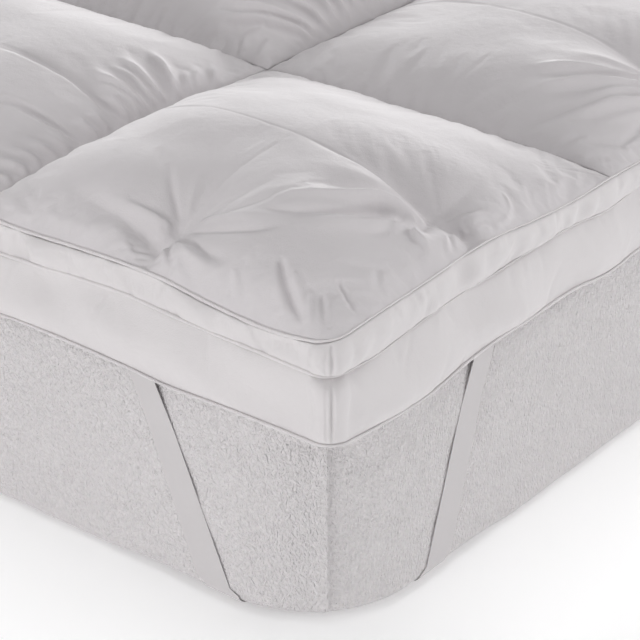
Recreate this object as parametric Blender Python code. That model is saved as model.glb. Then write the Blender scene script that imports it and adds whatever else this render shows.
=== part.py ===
"""A pocketed mattress topper strapped over the corners of a mattress, king size.

Metres, +Z up. The origin is on the floor under the middle of the mattress. X runs across the bed and
Y along it, with the foot at -Y. The topper has a filled top chamber of sewn pockets, a plain filled
chamber under it, three corded seams round the wall, and an elastic strap under each mattress corner.
"""

import math

import bmesh
import bpy
from mathutils import Vector

GAP = 0.0003  # between pieces that touch

# The topper, measured at its seams
WIDTH = 1.50
LENGTH = 2.00
POCKETS_ACROSS = 3
POCKETS_ALONG = 4
PITCH = WIDTH / POCKETS_ACROSS
BOTTOM_SEAM = 0.258  # heights above the floor
MIDDLE_SEAM = BOTTOM_SEAM + 0.077
TOP_SEAM = MIDDLE_SEAM + 0.040
CORNER_CUT = 0.006  # how far a seam's corner stands in from the square one
PANEL_EDGE = 0.045  # the seams' waves fade out of the flat parts over this distance

# Height of each pocket's crown over the top seam: rows from the foot, columns from -X to +X
CROWNS = (
    (0.066, 0.064, 0.071),
    (0.062, 0.060, 0.055),
    (0.067, 0.063, 0.066),
    (0.070, 0.065, 0.068),
)
ROUND_ACROSS, ROUND_ALONG = 3.5, 3.0  # a pocket's profile is 1 - |place| ** power
CHANNEL = 0.005  # height of the sewn channels between pockets over the top seam
CHANNEL_POWER = 12  # how suddenly the channels drop to the wall at their ends

# The short seam that pulls the middle of a pocket's outer side down
TACK_START, TACK_END = 0.020, 0.060  # distances in from the wall
TACK_DEPTH = 0.029
TACK_REACH = 0.045  # to either side

# Folds that leave a tack: bearing from straight in, height, spread of the bearing
TACK_FOLDS = (
    (-68, -0.0050, 11),
    (-40, 0.0040, 12),
    (-12, -0.0030, 9),
    (14, 0.0035, 10),
    (42, -0.0040, 12),
    (70, 0.0045, 12),
)
FOLD_PEAK = 0.075  # distance from the tack where its folds stand highest

# Low folds across the sewn channels: height, length of a wave along the channel, distance from the
# channel where they stand highest, and where they start
GATHER_HEIGHT, GATHER_LENGTH, GATHER_PEAK, GATHER_START = 0.003, 0.095, 0.035, 0.020
GATHER_POWER = 8  # how suddenly they end at a pocket's corners

# Grid cells from a sewn channel to a pocket's middle, as shares of the way
CELL_WEIGHTS = (3.0, 4.0, 5.0, 5.0, 4.0, 3.0, 2.5)

# Lift of the top, middle and bottom seam in millimetres, at every second grid line of one pocket,
# along the foot end and along the sides, and how strong it is on each pocket from the corner
END_WAVES = ((0, -2, -2), (-9, 0, -2), (-5, 2, -3), (3, 5, -5), (4, 8, -2), (2, 6, 0), (-2, 0, 1))
SIDE_WAVES = ((0, -2, -2), (4, -6, -7), (8, 2, -9), (12, 5, 0), (12, 5, 4), (5, 6, 4), (-1, 5, 5))
WAVE_SHARES = (1.0, -0.4, 0.8, -0.6, 1.0)

# Wall sections as (out, up) from the seam named
UPPER_WALL = ((0.0010, -0.0050), (0.0045, -0.0130))  # from the top seam
OVER_MIDDLE = ((0.0050, 0.0120), (0.0010, 0.0036))  # from the middle seam
UNDER_MIDDLE = ((0.0010, -0.0036), (0.0050, -0.0140))
OVER_BOTTOM = ((0.0065, 0.0380), (0.0045, 0.0140))  # from the bottom seam
REST_INSET = 0.012  # the underside lies flat on the mattress from this far in

# Cords sewn into the seams: radius, and how far out their middle lies
CORD_SIDES = 5
TOP_CORD = (0.0026, 0.0031)
MIDDLE_CORD = (0.0016, 0.0022)
BOTTOM_CORD = (0.0030, 0.0036)

# The mattress
MATTRESS_INSET = 0.005  # its sides stand in from the topper's seams
MATTRESS_HEIGHT = 0.260
MATTRESS_CORNER = 0.140
MATTRESS_TOP_EDGE = 0.015
MATTRESS_BOTTOM_EDGE = 0.020
CORNER_STEPS, EDGE_STEPS = 8, 3
LIFT = 0.006  # the straps hold each corner of the underside this high
LIFT_FULL, LIFT_NONE = 0.260, 0.340  # distances from the corner

# Elastic straps: the outer and the inner edge's distance from the topper's corner, at the seam and at
# the mattress's bottom edge
STRAP_THICKNESS = 0.0015
STRAP_END = {"seam": (0.280, 0.243), "floor": (0.183, 0.134)}
STRAP_SIDE = {"seam": (0.283, 0.246), "floor": (0.207, 0.161)}
STRAP_STANDOFF = 0.060  # below the seam, the strap meets the mattress's side
STRAP_UNDER_SEAM = 0.0012
STRAP_SEAM_OUT = -0.0004
STRAP_FACE_STEPS = 5

COTTON = ((0.80, 0.79, 0.80), 0.62)
CORDING = ((0.83, 0.82, 0.83), 0.65)
ELASTIC = ((0.78, 0.77, 0.76), 0.70)
TERRY = ((0.76, 0.75, 0.76), 0.95)


def clear_scene():
    for obj in list(bpy.data.objects):
        bpy.data.objects.remove(obj)


def material(name, finish):
    """A plain Principled material of one colour."""
    made = bpy.data.materials.new(name)
    made.use_nodes = True
    shader = made.node_tree.nodes["Principled BSDF"]
    colour, roughness = finish
    shader.inputs["Base Color"].default_value = (*colour, 1)
    shader.inputs["Roughness"].default_value = roughness
    shader.inputs["Metallic"].default_value = 0
    return made


def add_object(name, mesh_maker, finish):
    """One smooth-shaded object from a bmesh, with its faces turned outwards."""
    bmesh.ops.recalc_face_normals(mesh_maker, faces=mesh_maker.faces)
    mesh = bpy.data.meshes.new(name)
    mesh_maker.to_mesh(mesh)
    mesh_maker.free()
    mesh.shade_smooth()
    mesh.set_sharp_from_angle(angle=math.radians(40))
    mesh.materials.append(material(name, finish))
    made = bpy.data.objects.new(name, mesh)
    bpy.context.scene.collection.objects.link(made)
    return made


def smooth_step(value):
    value = min(max(value, 0.0), 1.0)
    return value * value * (3 - 2 * value)


# ---------------------------------------------------------------- the grid and the seams' waves


def grid_lines(pockets):
    """Distances of the panel's grid lines from its edge."""
    half = [weight / sum(CELL_WEIGHTS) * PITCH / 2 for weight in CELL_WEIGHTS]
    steps = (half + half[::-1]) * pockets
    lines = [0.0]
    for step in steps:
        lines.append(lines[-1] + step)
    return lines


LINES = {"end": grid_lines(POCKETS_ACROSS), "side": grid_lines(POCKETS_ALONG)}
WAVES = {"end": END_WAVES, "side": SIDE_WAVES}


def wave_at_line(kind, line):
    """The three seams' lifts in metres at an even grid line of one side."""
    rows = WAVES[kind]
    pocket, row = divmod(line // 2, len(rows))
    return [0.001 * lift * (WAVE_SHARES[pocket] if row else 1.0) for lift in rows[row]]


def wave_at(kind, distance):
    """The three seams' lifts at a distance along one side, straight between even grid lines."""
    lines = LINES[kind]
    after = 2
    while after < len(lines) - 1 and lines[after] < distance:
        after += 2
    share = (distance - lines[after - 2]) / (lines[after] - lines[after - 2])
    low, high = wave_at_line(kind, after - 2), wave_at_line(kind, after)
    return [a + (b - a) * share for a, b in zip(low, high)]


def perimeter():
    """Grid corners round the topper, each as (column, row, x, y, out_x, out_y, kind, distance).

    It starts at the +X, -Y corner and runs along +Y. Distances are from the +X, -Y corner or from the
    one opposite, so each half turn of the topper looks the same.
    """
    across, along = LINES["end"], LINES["side"]
    last_column, last_row = len(across) - 1, len(along) - 1
    found = []
    for row in range(last_row):
        found.append((last_column, row, 1, -1 if row == 0 else 0, "side", along[row]))
    for column in range(last_column, 0, -1):
        found.append((column, last_row, 1 if column == last_column else 0, 1, "end", across[column]))
    for row in range(last_row, 0, -1):
        found.append((0, row, -1, 1 if row == last_row else 0, "side", LENGTH - along[row]))
    for column in range(last_column):
        found.append((column, 0, -1 if column == 0 else 0, -1, "end", WIDTH - across[column]))
    stations = []
    for column, row, out_x, out_y, kind, distance in found:
        cut = CORNER_CUT if out_x and out_y else 0.0
        x = across[column] - WIDTH / 2 - out_x * cut
        y = along[row] - LENGTH / 2 - out_y * cut
        stations.append((column, row, x, y, out_x, out_y, kind, distance))
    return stations


def coarse(stations):
    """Every second station, with those beside a corner kept."""
    last_column, last_row = len(LINES["end"]) - 1, len(LINES["side"]) - 1
    kept = []
    for station in stations:
        column, row = station[:2]
        on_end = row in (0, last_row)
        place, last = (column, last_column) if on_end else (row, last_row)
        if place % 2 == 0 or place in (1, last - 1):
            kept.append(station)
    return kept


def seam_point(station, out, seam, up):
    """A point out and up from one of the three seams: 0 top, 1 middle, 2 bottom."""
    _, _, x, y, out_x, out_y, kind, distance = station
    level = (TOP_SEAM, MIDDLE_SEAM, BOTTOM_SEAM)[seam]
    return Vector((x + out_x * out, y + out_y * out, level + wave_at(kind, distance)[seam] + up))


# ---------------------------------------------------------------- the pockets


def place_in_pocket(distance, pockets):
    """(pocket, place from -1 to 1 across it) at a distance from the panel's edge."""
    pocket = min(int(distance / PITCH), pockets - 1)
    return pocket, 2 * (distance / PITCH - pocket) - 1


def tack_pull(inward, beside):
    """How far the tack in the middle of an outer side pulls the panel down."""
    past = inward - TACK_END
    if past < 0:
        strength = smooth_step((inward - TACK_START) / (TACK_END - TACK_START))
    else:
        strength = max(0.0, 1 - past / (PITCH / 2 - TACK_END))
    pull = TACK_DEPTH * strength * math.exp(-abs(beside) / TACK_REACH)
    radius = math.hypot(past, beside)
    bearing = math.degrees(math.atan2(beside, past))
    window = radius / FOLD_PEAK * math.exp(1 - radius / FOLD_PEAK) * smooth_step(inward / TACK_END)
    folds = sum(h * math.exp(-(((bearing - at) / spread) ** 2)) for at, h, spread in TACK_FOLDS)
    return pull - folds * window


def gathers(along_seam, from_seam, place_along, turn):
    """Low folds across a sewn channel, on the flank beside it."""
    wave = math.sin(2 * math.pi * along_seam / GATHER_LENGTH + turn)
    rise = math.exp(-2 * (from_seam / GATHER_PEAK - 1) ** 2) * min(1, from_seam / GATHER_START)
    return GATHER_HEIGHT * wave * rise * (1 - abs(place_along) ** GATHER_POWER)


def panel_height(x, y):
    """Height of the quilted panel over the top seam's level, x and y from the panel's corner."""
    column, u = place_in_pocket(x, POCKETS_ACROSS)
    row, v = place_in_pocket(y, POCKETS_ALONG)
    from_middle = max(abs(2 * x / WIDTH - 1), abs(2 * y / LENGTH - 1))
    channel = CHANNEL * (1 - from_middle**CHANNEL_POWER)
    across, along = 1 - abs(u) ** ROUND_ACROSS, 1 - abs(v) ** ROUND_ALONG
    height = channel + (CROWNS[row][column] - channel) * across * along
    if row in (0, POCKETS_ALONG - 1):
        height -= tack_pull(min(y, LENGTH - y), u * PITCH / 2) * across
    if column in (0, POCKETS_ACROSS - 1):
        height -= tack_pull(min(x, WIDTH - x), v * PITCH / 2) * along
    height += gathers(y, (1 - abs(u)) * PITCH / 2, v, 2 * column + row)
    height += gathers(x, (1 - abs(v)) * PITCH / 2, u, 2 * row + column)
    return height


def wave_inside(x, y):
    """The top seam's wave carried into the panel, fading with distance from the wall."""
    lift = 0.0
    for inward, kind, distance in (
        (y, "end", WIDTH - x),
        (LENGTH - y, "end", x),
        (WIDTH - x, "side", y),
        (x, "side", LENGTH - y),
    ):
        lift += wave_at(kind, distance)[0] * math.exp(-inward / PANEL_EDGE)
    return lift


# ---------------------------------------------------------------- lofts


def add_ring(maker, points):
    return [maker.verts.new(point) for point in points]


def join_rings(maker, first, second):
    """Two triangles between each pair of neighbours, always along the same diagonal."""
    for k in range(len(first)):
        after = (k + 1) % len(first)
        maker.faces.new((first[k], first[after], second[k]))
        maker.faces.new((first[after], second[after], second[k]))


def inset_ring(stations, height):
    """The stations' flat inner ring, where the seams' waves have faded out."""
    points = []
    for _, _, x, y, out_x, out_y, _, _ in stations:
        x = min(max(x, -WIDTH / 2 + PANEL_EDGE), WIDTH / 2 - PANEL_EDGE)
        y = min(max(y, -LENGTH / 2 + PANEL_EDGE), LENGTH / 2 - PANEL_EDGE)
        points.append(Vector((x, y, height)))
    return points


def without_repeats(ring):
    return [vert for k, vert in enumerate(ring) if vert != ring[k - 1]]


def add_inner_ring(maker, stations, height):
    """The inner ring as vertices, one for the stations that share a place at a corner."""
    made, verts = {}, []
    for point in inset_ring(stations, height):
        key = (round(point.x, 6), round(point.y, 6))
        if key not in made:
            made[key] = maker.verts.new(point)
        verts.append(made[key])
    return verts


def join_to_inner(maker, outer, inner):
    """As join_rings, for an inner ring whose corner stations share one vertex."""
    for k in range(len(outer)):
        after = (k + 1) % len(outer)
        maker.faces.new((outer[k], outer[after], inner[k]))
        if inner[k] != inner[after]:
            maker.faces.new((outer[after], inner[after], inner[k]))


def build_top_chamber():
    """The pockets and the upper wall as one filled solid."""
    maker = bmesh.new()
    across, along = LINES["end"], LINES["side"]
    stations = perimeter()
    rim = {(s[0], s[1]): maker.verts.new(seam_point(s, 0, 0, 0)) for s in stations}
    panel = {}
    for row, y in enumerate(along):
        for column, x in enumerate(across):
            if (column, row) in rim:
                panel[column, row] = rim[column, row]
                continue
            z = TOP_SEAM + wave_inside(x, y) + panel_height(x, y)
            panel[column, row] = maker.verts.new((x - WIDTH / 2, y - LENGTH / 2, z))
    for row in range(len(along) - 1):
        for column in range(len(across) - 1):
            corners = ((column, row), (column + 1, row), (column + 1, row + 1), (column, row + 1))
            maker.faces.new([panel[corner] for corner in corners])
    ring = [rim[s[0], s[1]] for s in stations]
    sections = [(0, out, up) for out, up in UPPER_WALL]
    sections += [(1, out, up) for out, up in OVER_MIDDLE] + [(1, 0.0, GAP / 2)]
    for seam, out, up in sections:
        lower = add_ring(maker, [seam_point(s, out, seam, up) for s in stations])
        join_rings(maker, ring, lower)
        ring = lower
    inner = add_inner_ring(maker, stations, MIDDLE_SEAM + GAP / 2)
    join_to_inner(maker, ring, inner)
    maker.faces.new(without_repeats(inner))
    return add_object("top_chamber", maker, COTTON)


def build_base_chamber():
    """The plain chamber under the pockets, with the lower wall, flat on the mattress."""
    maker = bmesh.new()
    stations = perimeter()
    upper = add_ring(maker, [seam_point(s, 0, 1, -GAP / 2) for s in stations])
    top_inner = add_inner_ring(maker, stations, MIDDLE_SEAM - GAP / 2)
    join_to_inner(maker, upper, top_inner)
    maker.faces.new(without_repeats(top_inner))
    ring = upper
    sections = [(1, out, up) for out, up in UNDER_MIDDLE]
    sections += [(2, out, up) for out, up in OVER_BOTTOM] + [(2, 0.0, 0.0)]
    for seam, out, up in sections:
        lower = add_ring(maker, [seam_point(s, out, seam, up) for s in stations])
        join_rings(maker, ring, lower)
        ring = lower
    rest = []
    for _, _, x, y, out_x, out_y, _, _ in stations:
        in_x, in_y = out_x * REST_INSET, out_y * REST_INSET
        rest.append(Vector((x - in_x, y - in_y, MATTRESS_HEIGHT + GAP)))
    under = add_ring(maker, rest)
    join_rings(maker, ring, under)
    maker.faces.new(under)
    return add_object("base_chamber", maker, COTTON)


def build_cord(name, seam, size):
    """A closed ring of cord sewn into one seam."""
    radius, out = size
    maker = bmesh.new()
    stations = coarse(perimeter())
    rings = []
    for side in range(CORD_SIDES):
        turn = 2 * math.pi * side / CORD_SIDES
        across, up = out + radius * math.cos(turn), radius * math.sin(turn)
        rings.append(add_ring(maker, [seam_point(s, across, seam, up) for s in stations]))
    for side in range(CORD_SIDES):
        join_rings(maker, rings[side], rings[(side + 1) % CORD_SIDES])
    return add_object(name, maker, CORDING)


# ---------------------------------------------------------------- the mattress


def corner_offsets():
    """One corner of the mattress's outline: distances in from the square corner along X and Y."""
    offsets = [(LIFT_NONE, 0.0), (LIFT_FULL, 0.0)]
    for step in range(CORNER_STEPS + 1):
        turn = math.pi / 2 * step / CORNER_STEPS
        reach = MATTRESS_CORNER
        offsets.append((reach * (1 - math.sin(turn)), reach * (1 - math.cos(turn))))
    return offsets + [(0.0, LIFT_FULL), (0.0, LIFT_NONE)]


def corner_lift(distance_x, distance_y):
    """How high the straps hold the underside, by the distances in from the square corner."""
    far = max(distance_x, distance_y)
    return LIFT * smooth_step((LIFT_NONE - far) / (LIFT_NONE - LIFT_FULL))


def inset_from(distance, inset):
    """A distance in from the square corner, with the outline shrunk by an inset."""
    if distance >= MATTRESS_CORNER:
        return distance
    return MATTRESS_CORNER - (MATTRESS_CORNER - distance) * (1 - inset / MATTRESS_CORNER)


def mattress_ring(inset, height, lifted):
    """One level of the mattress, counterclockwise from the foot's end at +X."""
    half_x, half_y = WIDTH / 2 - MATTRESS_INSET, LENGTH / 2 - MATTRESS_INSET
    points = []
    for side_x, side_y, turned in ((1, -1, False), (1, 1, True), (-1, 1, False), (-1, -1, True)):
        offsets = corner_offsets()
        for in_x, in_y in offsets[::-1] if turned else offsets:
            x = side_x * (half_x - inset_from(in_x, inset))
            y = side_y * (half_y - inset_from(in_y, inset))
            points.append(Vector((x, y, height + corner_lift(in_x, in_y) * lifted)))
    return points


def build_mattress():
    """A plain mattress with soft edges, its corners held a little off the floor by the straps."""
    maker = bmesh.new()
    levels = []
    for step in range(EDGE_STEPS + 1):
        turn = math.pi / 2 * step / EDGE_STEPS
        r = MATTRESS_BOTTOM_EDGE
        levels.append((r * (1 - math.sin(turn)), r * (1 - math.cos(turn)), 1.0))
    levels.append((0.0, MATTRESS_HEIGHT / 2, 0.0))
    for step in range(EDGE_STEPS + 1):
        turn = math.pi / 2 * step / EDGE_STEPS
        r = MATTRESS_TOP_EDGE
        levels.append((r * (1 - math.cos(turn)), MATTRESS_HEIGHT - r * (1 - math.sin(turn)), 0.0))
    rings = [add_ring(maker, mattress_ring(*level)) for level in levels]
    for lower, upper in zip(rings, rings[1:]):
        join_rings(maker, lower, upper)
    maker.faces.new(rings[-1])
    close_underside(maker, rings[0])
    return add_object("mattress", maker, TERRY)


def close_underside(maker, edge):
    """The underside: four lifted corners, then the flat that rests on the floor."""
    per_corner = len(edge) // 4
    flat = []
    for corner in range(4):
        ring = edge[corner * per_corner : (corner + 1) * per_corner]
        maker.faces.new(ring[1:-1])
        maker.faces.new((ring[0], ring[1], ring[-2], ring[-1]))
        flat += [ring[0], ring[-1]]
    maker.faces.new(flat)


# ---------------------------------------------------------------- the straps


def side_profile(seam_level):
    """A strap's run down a side of the mattress: (out from the side, height, share of the way down)."""
    rows = [(MATTRESS_INSET + STRAP_SEAM_OUT, seam_level - STRAP_UNDER_SEAM, 0.0)]
    start, end = seam_level - STRAP_STANDOFF, MATTRESS_BOTTOM_EDGE + LIFT
    outer = GAP + STRAP_THICKNESS
    for step in range(STRAP_FACE_STEPS + 1):
        height = start + (end - start) * step / STRAP_FACE_STEPS
        rows.append((outer, height, (seam_level - height) / seam_level))
    reach = MATTRESS_BOTTOM_EDGE + outer
    for step in range(1, EDGE_STEPS + 1):
        turn = math.pi / 2 * step / EDGE_STEPS
        out = reach * math.cos(turn) - MATTRESS_BOTTOM_EDGE
        rows.append((out, end - reach * math.sin(turn), 1.0))
    return rows


def inner_of(row):
    """The same strap section on its inner face, towards the mattress."""
    out, height, share = row
    if share < 1.0:
        return out - STRAP_THICKNESS, height, share
    arc_height = MATTRESS_BOTTOM_EDGE + LIFT
    away = Vector((out + MATTRESS_BOTTOM_EDGE, height - arc_height))
    away.length -= STRAP_THICKNESS
    return away.x - MATTRESS_BOTTOM_EDGE, away.y + arc_height, share


def strap_edge(edge, side_x, side_y, inner):
    """One long edge of a strap as points, from the end wall's seam to the side wall's seam."""
    waves_start_here = side_x * side_y < 0
    runs = []
    for kind, size, ends in (("end", WIDTH, STRAP_END), ("side", LENGTH, STRAP_SIDE)):
        at_seam, at_floor = ends["seam"][edge], ends["floor"][edge]
        wave_distance = at_seam if waves_start_here else size - at_seam
        run = []
        for row in side_profile(BOTTOM_SEAM + wave_at(kind, wave_distance)[2]):
            out, height, share = inner_of(row) if inner else row
            reach = [at_seam + (at_floor - at_seam) * share, MATTRESS_INSET - out]
            in_x, in_y = reach if kind == "end" else reach[::-1]
            run.append(Vector((side_x * (WIDTH / 2 - in_x), side_y * (LENGTH / 2 - in_y), height)))
        runs.append(run)
    return runs[0] + runs[1][::-1]


def build_strap(name, side_x, side_y):
    """An elastic strap from one wall's seam, under the mattress's corner, to the other wall's seam."""
    maker = bmesh.new()
    edges = ((0, False), (1, False), (1, True), (0, True))
    runs = [add_ring(maker, strap_edge(edge, side_x, side_y, inner)) for edge, inner in edges]
    for first, second in zip(runs, runs[1:] + runs[:1]):
        for k in range(len(first) - 1):
            maker.faces.new((first[k], first[k + 1], second[k + 1], second[k]))
    maker.faces.new([run[0] for run in runs])
    maker.faces.new([run[-1] for run in runs])
    return add_object(name, maker, ELASTIC)


def main():
    clear_scene()
    build_top_chamber()
    build_base_chamber()
    build_cord("top_cord", 0, TOP_CORD)
    build_cord("middle_cord", 1, MIDDLE_CORD)
    build_cord("bottom_cord", 2, BOTTOM_CORD)
    build_mattress()
    for end, side_y in (("foot", -1), ("head", 1)):
        for side, side_x in (("left", -1), ("right", 1)):
            build_strap(f"strap_{end}_{side}", side_x, side_y)


main()
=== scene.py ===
"""The looks of a pocketed mattress topper strapped over the corners of a plain mattress.

Metres, +Z up, in the frame's own axes: +X across the bed, +Y from foot to head. The photo's corner is
at +X, -Y. A place on the panel is (a, b): a in from the +X side, b in from the foot. Folds are listed
in millimetres of a and b.
"""

import math
from collections import namedtuple

import bpy
import numpy as np
from mathutils import Matrix, Vector


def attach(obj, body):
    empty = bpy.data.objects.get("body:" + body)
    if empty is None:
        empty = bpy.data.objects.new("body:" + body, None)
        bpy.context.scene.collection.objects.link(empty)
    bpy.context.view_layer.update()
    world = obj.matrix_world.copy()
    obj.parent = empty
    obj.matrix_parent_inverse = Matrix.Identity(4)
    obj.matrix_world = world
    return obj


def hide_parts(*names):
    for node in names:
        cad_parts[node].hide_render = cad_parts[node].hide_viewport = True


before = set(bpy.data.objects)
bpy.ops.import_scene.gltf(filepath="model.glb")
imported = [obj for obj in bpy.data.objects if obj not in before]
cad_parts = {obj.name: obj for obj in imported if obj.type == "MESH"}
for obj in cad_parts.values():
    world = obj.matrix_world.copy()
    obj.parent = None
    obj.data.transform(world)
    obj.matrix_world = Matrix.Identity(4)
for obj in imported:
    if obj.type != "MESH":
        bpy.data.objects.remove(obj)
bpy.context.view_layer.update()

MM = 0.001
BODY = "root"

# The topper's sewn sizes, as in the frame
PITCH = 0.50
POCKETS_ACROSS, POCKETS_ALONG = 3, 4
WIDTH, LENGTH = POCKETS_ACROSS * PITCH, POCKETS_ALONG * PITCH
TOP_SEAM, MIDDLE_SEAM, BOTTOM_SEAM = 0.375, 0.335, 0.258
CORNER_ROUND = 0.024  # radius of the seams' corners in plan
PANEL_EDGE = 0.045  # the top seam's waves fade out of the panel over this distance
MATTRESS_INSET, MATTRESS_HEIGHT, MATTRESS_CORNER = 0.005, 0.260, 0.140
MATTRESS_TOP_EDGE, MATTRESS_BOTTOM_EDGE = 0.015, 0.020
GAP = 0.0003  # between pieces that touch
TOP, MIDDLE, BOTTOM = 0, 1, 2  # the seams' places in the tables

# ------------------------ sizes of the pockets

Shape = namedtuple("Shape", "crown across along end_tack side_tack")
PLAIN = {"across": (3.5, 3.5), "along": (3.0, 3.0), "end_tack": 0.029, "side_tack": 0.029}
# rows from the foot, and in each row the pockets from the photo's side; how steeply a pocket falls to
# its seams is a pair, on the side of the photo's corner and on the other
SHAPES = (
    (
        Shape(0.071, (2.6, 3.6), (3.6, 1.8), 0.029, 0.029),
        Shape(0.064, (3.0, 3.0), (3.0, 3.0), 0.029, 0.029),
        Shape(crown=0.066, **PLAIN),
    ),
    (
        Shape(0.051, (2.6, 2.6), (3.0, 3.0), 0.029, 0.038),
        Shape(0.066, (3.5, 3.0), (3.5, 3.0), 0.029, 0.029),
        Shape(crown=0.062, **PLAIN),
    ),
    (Shape(crown=0.066, **PLAIN), Shape(crown=0.063, **PLAIN), Shape(crown=0.067, **PLAIN)),
    (Shape(crown=0.068, **PLAIN), Shape(crown=0.065, **PLAIN), Shape(crown=0.070, **PLAIN)),
)
CHANNEL, CHANNEL_POWER = 0.005, 12  # the sewn channels' height, and how suddenly they drop at their ends
PUFF, PUFF_REACH, SIDE_PUFF_REACH = 0.0080, 0.007, 0.018  # how the cloth swells beside every seam
RIM, RIM_REACH = 0.0014, 0.003  # at the ends the panel's edge rises on to its cord
GROOVES, GROOVE_REACH = (0.00022, 0.0011), 0.0020  # the seams that cross in a pocket's middle

# A tack pulls the panel down: the places in from the wall, the powers of the rise to it and of the fade
# past it, how blunt its tip is, and how much blunter the pull gets further in
TACK_START, TACK_END, TACK_REACH = 0.020, 0.060, 0.045
TACK_RISE, TACK_FADE, TACK_TIP = 0.6, 1.5, 0.002
END_BLUNTING, SIDE_BLUNTING = 0.30, 0.03
END_SLOPES, SIDE_SLOPES = (0.018, 0.038), (0.032, 0.014)  # how far to either side it falls straight

# The cloth's own unevenness: height, size of its hills and a number added to the pocket's seed
UNEVEN = ((0.0011, 0.070, 0), (0.00012, 0.016, 500))
UNEVEN_EDGE = 0.030  # it ends over this distance from the seams
NOISE_WAVES, NOISE_STRETCH = 22, (1.3, 3.2)

# Gathers along a pocket's seams: their spacing, height and length, for (column, row)
GATHERS = {(0, 0): (0.022, 0.0012, 0.018), (1, 1): (0.022, 0.0016, 0.040), (1, 0): (0.020, 0.0016, 0.030)}
OTHER_GATHERS = (0.024, 0.0012, 0.030)
GATHER_SEED = 40
GATHER_FOOT = 0.004  # they rise from the seam over this distance
GATHER_WIDENING = 0.8
# random shares of the spacing, the length, the height and the slant, and steps from one to the next
GATHER_STARTS, GATHER_WIDTHS, GATHER_LENGTHS = (0.3, 1.0), (0.18, 0.34), (0.4, 1.3)
GATHER_RISES, GATHER_SLANTS, GATHER_STEPS = (-1.0, 0.6), (-0.35, 0.35), (0.55, 1.35)

# A pocket's underside: how far in from its edge, and down from its edge and then from the top seam
SKIRT_IN, SKIRT_DOWN = (0.004, 0.045), (0.003, 0.016)

# Lift of the top, middle and bottom seam in millimetres at seven places along a pocket's side, and each
# pocket's share of it
WAVE_PLACES = (0.0, 0.066, 0.160, 0.226, 0.274, 0.340, 0.434)
END_WAVES = ((0, -2, -2), (-9, 0, -2), (-5, 2, -3), (3, 5, -5), (4, 8, -2), (2, 6, 0), (-2, 0, 1))
SIDE_WAVES = ((0, -2, -2), (4, -6, -7), (8, 2, -9), (12, 5, 0), (12, 5, 4), (5, 6, 4), (-1, 5, 5))
WAVE_SHARES = (1.0, -0.4, 0.8, -0.6, 1.0)

# ------------------------ folds read from the photo

# In millimetres: height of the fold, spread to the left and right of its line, going from its first
# point, how sharp its line is from 0 to 1, and its route
Fold = namedtuple("Fold", "height left right sharp route")
ROUTE_STEP = 1.5
FOLD_REACH = 4  # a fold ends this many spreads from its line
FOLD_WIDENING = (0.6, 1.4)  # shares of its spread at its start and its end
SHARP_FALL = 1.6  # how fast a sharp line falls
FOLD_START, FOLD_END = 0.16, 0.5  # shares of its length over which it rises and dies out

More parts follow.
